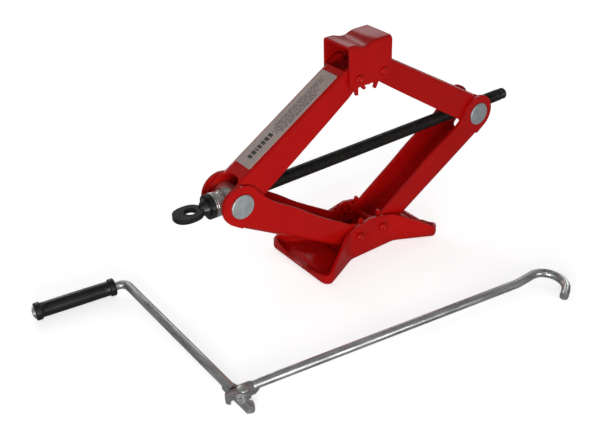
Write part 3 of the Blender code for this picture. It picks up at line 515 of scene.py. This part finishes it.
def make_screw():
    """The lead screw: a rolled trapezoidal thread that runs out at both ends, and a round nose."""
    low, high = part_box("lead_screw")
    axis_z = (low.z + high.z) / 2
    crest = (high.z - low.z) / 2
    root = crest - THREAD_DEPTH * MM
    pitch = THREAD_PITCH * MM
    start = low.x + SCREW_NOSE * MM
    end = high.x - SCREW_TIP * MM
    turns = int((end - start) / pitch)
    bm = bmesh.new()
    rows = []
    total = turns * THREAD_STEPS
    for step in range(total + 1):
        angle = 2 * math.pi * step / THREAD_STEPS
        fade = min(1.0, step / THREAD_STEPS, (total - step) / THREAD_STEPS)
        row = []
        for along, rise in THREAD_RIDGE:
            radius = root + (crest - root) * (rise * fade if rise > 0 else rise)
            x = start + pitch * (step / THREAD_STEPS + along)
            row.append(bm.verts.new((x, radius * math.cos(angle), axis_z + radius * math.sin(angle))))
        rows.append(row)
    for step in range(total):
        row = rows[step]
        after = rows[step + 1]
        for index in range(len(row)):
            beside = (index + 1) % len(row)
            bm.faces.new((row[index], row[beside], after[beside], after[index]))
    bm.faces.new(rows[0])
    bm.faces.new(list(reversed(rows[-1])))
    place = axis_frame((0, 0, axis_z), (1, 0, 0))
    chamfer = SCREW_NOSE_CHAMFER * MM
    tip_step = SCREW_TIP_STEP[0] * MM
    tip_radius = crest - SCREW_TIP_STEP[1] * MM
    rounding = SCREW_TIP_ROUNDING * MM
    core = [(low.x, 0), (low.x, crest - chamfer), (low.x + chamfer, crest), (start, crest),
            (start + SCREW_RUN_OUT * MM, root), (end, root), (end + tip_step, tip_radius)]
    core += quarter((high.x - rounding, tip_radius - rounding), rounding, 90)
    core.append((high.x, 0))
    add_lathe(bm, core, place, SCREW_SIDES)
    finish_piece("threaded_lead_screw", bm, OXIDE, "screw", ("lead_screw",), sharp=60)


def make_eye():
    """The forged ring eye on the screw's end."""
    rounded_copy("screw_eye", OXIDE, EYE_EDGE, segments=3, limit=40)


# --- label ----------------------------------------------------------------------------

def web_frame():
    """Frame of the label: X from the saddle end to the trunnion end, Y across, Z out of the web."""
    verts = [vertex.co.copy() for vertex in frame["nodes"]["arm_label"].data.vertices]
    low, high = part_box("arm_label")
    # The lowest and highest corners lie on opposite faces of the film, so its long edge is measured.
    edges = [a - b for a in verts for b in verts if abs(a.y - b.y) < SAME_PLANE]
    along = max(edges, key=lambda edge: edge.length if edge.z < 0 else 0).normalized()
    out = Vector((along.z, 0, -along.x))
    if out.z < 0:
        out.negate()
    across = out.cross(along)
    middle = (low + high) / 2
    turn = Matrix((along, across, out)).transposed().to_4x4()
    length = max(edge.length for edge in edges)
    return Matrix.Translation(middle) @ turn, length, high.y - low.y


def add_plate(bm, place, x0, x1, y0, y1, z0, z1, corner=0.0, steps=4):
    """A thin plate with rounded corners."""
    outline = []
    for cx, cy, first in ((x1 - corner, y1 - corner, 0), (x0 + corner, y1 - corner, 90),
                          (x0 + corner, y0 + corner, 180), (x1 - corner, y0 + corner, 270)):
        for step in range(steps + 1 if corner else 1):
            angle = math.radians(first + 90 * step / steps)
            outline.append((cx + corner * math.cos(angle), cy + corner * math.sin(angle)))
    bottom = [bm.verts.new(place @ Vector((x, y, z0))) for x, y in outline]
    top = [bm.verts.new(place @ Vector((x, y, z1))) for x, y in outline]
    bm.faces.new(list(reversed(bottom)))
    bm.faces.new(top)
    for index in range(len(outline)):
        after = (index + 1) % len(outline)
        bm.faces.new((bottom[index], bottom[after], top[after], top[index]))


def make_label():
    """The grey sticker: plain dashes stand for its print, so it carries no words."""
    place, length, width = web_frame()
    half = length / 2
    side = width / 2
    top = LABEL_TOP * MM
    bm = bmesh.new()
    add_plate(bm, place, -half, half, -side, side, -LABEL_SINK * MM, top, LABEL_CORNER * MM)
    finish_piece("arm_label_film", bm, FILM, "upper_left", ("arm_label",))
    shuffle = random.Random(7)
    bm = bmesh.new()
    ink_low = top - INK_SINK * MM
    ink_top = top + INK_HEIGHT * MM
    x = half - BLOCK_START * MM
    for block in BLOCK_WIDTHS:
        wide = block * MM
        add_plate(bm, place, x, x + wide, BLOCK_SIDES[0] * MM, BLOCK_SIDES[1] * MM, ink_low, ink_top,
                  BLOCK_CORNER * MM)
        x += wide + BLOCK_GAP * MM
    for y, thick, first, last in DASH_ROWS:
        x = -half + first * MM
        stop = -half + last * MM
        while x < stop:
            wide = shuffle.uniform(*DASH_WIDTHS) * MM
            add_plate(bm, place, x, min(x + wide, stop), (y - thick) * MM, (y + thick) * MM,
                      ink_low, ink_top)
            x += wide + shuffle.uniform(*DASH_GAPS) * MM
    finish_piece("arm_label_print", bm, INK, "upper_left")


# --- base -----------------------------------------------------------------------------

def make_foot_embosses():
    """A shallow raised panel pressed into the floor of each foot."""
    low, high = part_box("base_pan")
    floor = FOOT_FLOOR * MM
    near = EMBOSS_NEAR * MM
    wide, narrow = (half_width * MM for half_width in EMBOSS_HALF_WIDTHS)
    for word, outer, way in (("left", low.x, -1), ("right", high.x, 1)):
        end = abs(outer) - EMBOSS_INSET * MM
        corners = [(end, wide), (near, narrow), (near, -narrow), (end, -wide)]
        bm = bmesh.new()
        rings = []
        for ring in range(EMBOSS_RINGS + 1):
            share = ring / EMBOSS_RINGS
            shrink = EMBOSS_SLOPE * MM * share
            height = floor - EMBOSS_OVERLAP * MM + EMBOSS_HEIGHT * MM * math.sin(math.pi / 2 * share)
            outline = rounded_outline(corners, EMBOSS_CORNER * MM, shrink)
            rings.append([bm.verts.new((way * x, y, height)) for x, y in outline])
        for lower, upper in zip(rings, rings[1:]):
            for index in range(len(lower)):
                after = (index + 1) % len(lower)
                bm.faces.new((lower[index], lower[after], upper[after], upper[index]))
        bm.faces.new(rings[-1])
        bottom = floor - EMBOSS_SINK * MM
        sunk = [bm.verts.new((vertex.co.x, vertex.co.y, bottom)) for vertex in rings[0]]
        for index in range(len(sunk)):
            after = (index + 1) % len(sunk)
            bm.faces.new((sunk[index], sunk[after], rings[0][after], rings[0][index]))
        bm.faces.new(list(reversed(sunk)))
        finish_piece(f"{word}_foot_emboss", bm, RED, "base")


# --- crank ----------------------------------------------------------------------------

def make_crank():
    """The folding crank: drawn rods with painted reflection streaks, flattened ends, a domed rivet and
    the push nut.
    """
    # the hook rod and crank arm carry painted reflection streaks in their base colour
    rounded_copy("hook_rod", ZINC_ROD, ROD_EDGE, segments=3, limit=50)
    rounded_copy("crank_arm", ZINC_ARM, ROD_EDGE, segments=3, limit=50)
    rounded_copy("crank_rivet", ZINC_RIVET, CRANK_RIVET_EDGE, limit=50)
    rounded_copy("grip_push_nut", ZINC_BRIGHT, PUSH_NUT_EDGE, limit=50)


def make_grip():
    """The moulded grip: a slightly swollen barrel between two collars, bored for the rod."""
    spin = next(joint for joint in frame["joints"] if joint["name"] == "grip_spin")
    axis = Vector(spin["axis"]).normalized()
    origin = Vector(spin["pos_m"])
    spans = [(vertex.co - origin).dot(axis) for vertex in frame["nodes"]["crank_grip"].data.vertices]
    start, end = min(spans), max(spans)
    barrel = GRIP_BARREL * MM
    long = GRIP_COLLAR_LENGTH * MM
    step_down = GRIP_STEP * MM
    rounding = GRIP_ROUNDING * MM
    shoulder = GRIP_COLLAR * MM - rounding
    half = [(0.0, GRIP_BORE * MM), (0.0, shoulder)]
    half += quarter((rounding, shoulder), rounding, 180)[1:]
    half += quarter((long - rounding, shoulder), rounding, 90)
    half += [(long, barrel + step_down), (long + step_down, barrel)]
    profile = [(start + along, radius) for along, radius in half]
    span = end - start - 2 * (long + step_down)
    for step in range(1, GRIP_SPANS):
        share = step / GRIP_SPANS
        swell = GRIP_SWELL * MM * math.sin(math.pi * share)
        profile.append((start + long + step_down + span * share, barrel + swell))
    profile += [(end - along, radius) for along, radius in reversed(half)]
    bm = bmesh.new()
    add_lathe(bm, profile, axis_frame(origin, axis), GRIP_SIDES)
    finish_piece("moulded_grip", bm, PLASTIC, "grip", ("crank_grip",), sharp=50)


# --- stage ----------------------------------------------------------------------------

def make_floor():
    """A plain pale floor."""
    made, tree, shader = material("pale_floor")
    tone = add_ramp(tree, add_noise(tree, 3, 2), [(0.3, (0.86, 0.86, 0.86)),
                                                  (0.7, (0.88, 0.88, 0.88))])
    tree.links.new(tone, shader.inputs["Base Color"])
    shader.inputs["Roughness"].default_value = 0.9
    shader.inputs["Specular IOR Level"].default_value = 0.1
    shader.inputs["Emission Color"].default_value = (1, 1, 1, 1)
    shader.inputs["Emission Strength"].default_value = FLOOR_GLOW
    bm = bmesh.new()
    bmesh.ops.create_grid(bm, x_segments=1, y_segments=1, size=FLOOR_HALF_SIZE)
    mesh = bpy.data.meshes.new("floor")
    bm.to_mesh(mesh)
    bm.free()
    mesh.materials.append(made)
    floor = bpy.data.objects.new("floor", mesh)
    floor.location.z = -FLOOR_DROP
    floor.visible_diffuse = False
    floor.visible_glossy = False
    scene.collection.objects.link(floor)


def add_light(name, place, target, size, power):
    """A square soft box aimed at a point."""
    data = bpy.data.lights.new(name, "AREA")
    data.shape = "RECTANGLE"
    data.size = size
    data.size_y = size
    data.energy = power
    light = bpy.data.objects.new(name, data)
    light.location = place
    light.rotation_euler = (Vector(target) - Vector(place)).to_track_quat("-Z", "Y").to_euler()
    scene.collection.objects.link(light)


def make_lights():
    """Soft studio light, mostly low and frontal, with dim boxes behind and a small one for glints."""
    middle = Vector(LIGHT_TARGET)
    for name, azimuth, elevation, distance, size, power in LIGHTS:
        turn = math.radians(azimuth)
        rise = math.radians(elevation)
        way = Vector((math.sin(turn) * math.cos(rise), -math.cos(turn) * math.cos(rise), math.sin(rise)))
        add_light(name, middle + way * distance, middle, size, power)
    world = bpy.data.worlds.new("studio")
    world.use_nodes = True
    background = world.node_tree.nodes["Background"]
    background.inputs["Color"].default_value = (*WORLD_COLOUR, 1)
    background.inputs["Strength"].default_value = WORLD_STRENGTH
    scene.world = world


def make_camera():
    """The camera, rolled a little about its own axis."""
    azimuth = math.radians(CAMERA_AZIMUTH)
    down = math.radians(CAMERA_DOWN)
    forward = Vector((-math.sin(azimuth) * math.cos(down), math.cos(azimuth) * math.cos(down),
                      -math.sin(down)))
    turn = forward.to_track_quat("-Z", "Y").to_matrix().to_4x4()
    data = bpy.data.cameras.new("camera")
    data.lens = CAMERA_LENS
    camera = bpy.data.objects.new("camera", data)
    camera.matrix_world = (Matrix.Translation(Vector(CAMERA_PLACE)) @ turn
                           @ Matrix.Rotation(math.radians(CAMERA_ROLL), 4, "Z"))
    scene.collection.objects.link(camera)
    scene.camera = camera


make_sheet_metal()
make_rivets()
make_trunnions()
make_thrust_stack()
make_screw()
make_eye()
make_label()
make_foot_embosses()
make_crank()
make_grip()
make_floor()
make_lights()
make_camera()
scene.view_settings.view_transform = "Standard"

bpy.context.view_layer.update()
